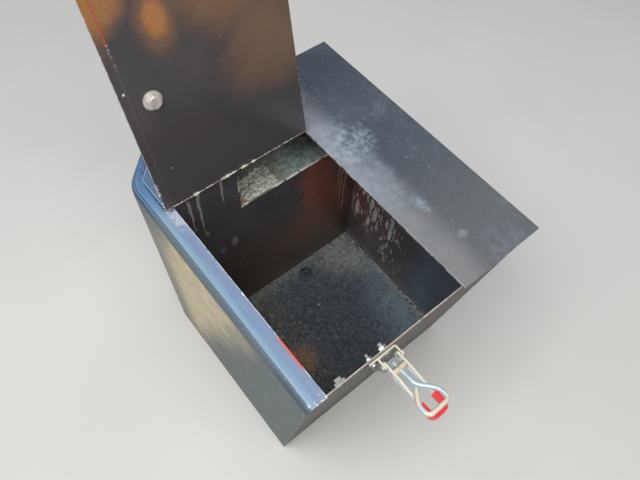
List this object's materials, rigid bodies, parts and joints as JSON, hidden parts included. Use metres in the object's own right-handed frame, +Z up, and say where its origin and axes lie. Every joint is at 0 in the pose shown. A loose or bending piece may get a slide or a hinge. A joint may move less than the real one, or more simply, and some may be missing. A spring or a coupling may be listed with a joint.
{
  "type": "wheel loader side storage box",
  "caption": "Open sheet-metal storage box from the side of a compact wheel loader, with a hinged lid, a shelf and an adjustable toggle latch.",
  "frame": {"origin": "middle of the four chassis bolts, on the brackets' mounting face", "axes": "+X along the machine from the lid's hinge to the latch, +Y towards the chassis, +Z up"},
  "size_m": [0.5176, 0.401, 0.7033],
  "materials": {
    "blue_paint": "glossy, dusty",
    "dusty_paint": "satin, covered in dust",
    "dark_paint": "dark, in places red primer",
    "black_paint": "satin",
    "lid_paint": "glossy, scratched",
    "zinc": "zinc plated",
    "red_vinyl": "dipped vinyl"
  },
  "bodies": {
    "storage_box": {"outer_skin": "blue_paint", "near_end_plate": "blue_paint", "rest_tab": "blue_paint", "hinge_wall": "dark_paint", "inner_wall": "dark_paint", "floor_plate": "dark_paint", "ledge_plate": "dark_paint", "shelf_plate": "dusty_paint", "fixed_cover": "blue_paint", "chassis_bracket_far": "black_paint", "chassis_bracket_near": "black_paint", "hinge_fixed_leaf": "zinc", "hinge_pin": "zinc", "lid_stops": "blue_paint", "latch_base": "zinc", "latch_bolts": "zinc", "lever_rivets": "zinc"},
    "lid": {"lid_plate": "lid_paint", "hinge_lid_leaf": "zinc", "lid_stud": "zinc", "strike": "zinc"},
    "latch_lever": {"lever": "zinc", "lever_grip": "red_vinyl"},
    "latch_loop": {"trunnion": "zinc", "loop": "zinc"}
  },
  "joints": [
    {"name": "lid_hinge", "type": "hinge", "parent": "storage_box", "child": "lid", "pos_m": [-0.1105, -0.27525, 0.207], "axis": [0, 1, 0], "range_deg": [0, 103.2]},
    {"name": "latch_lever_pivot", "type": "hinge", "parent": "storage_box", "child": "latch_lever", "pos_m": [0.205, -0.28925, 0.193], "axis": [0, 1, 0], "range_deg": [0, 95]},
    {"name": "latch_loop_pivot", "type": "hinge", "parent": "latch_lever", "child": "latch_loop", "pos_m": [0.216, -0.28925, 0.193], "axis": [0, -1, 0], "range_deg": [0, 80]}
  ]
}
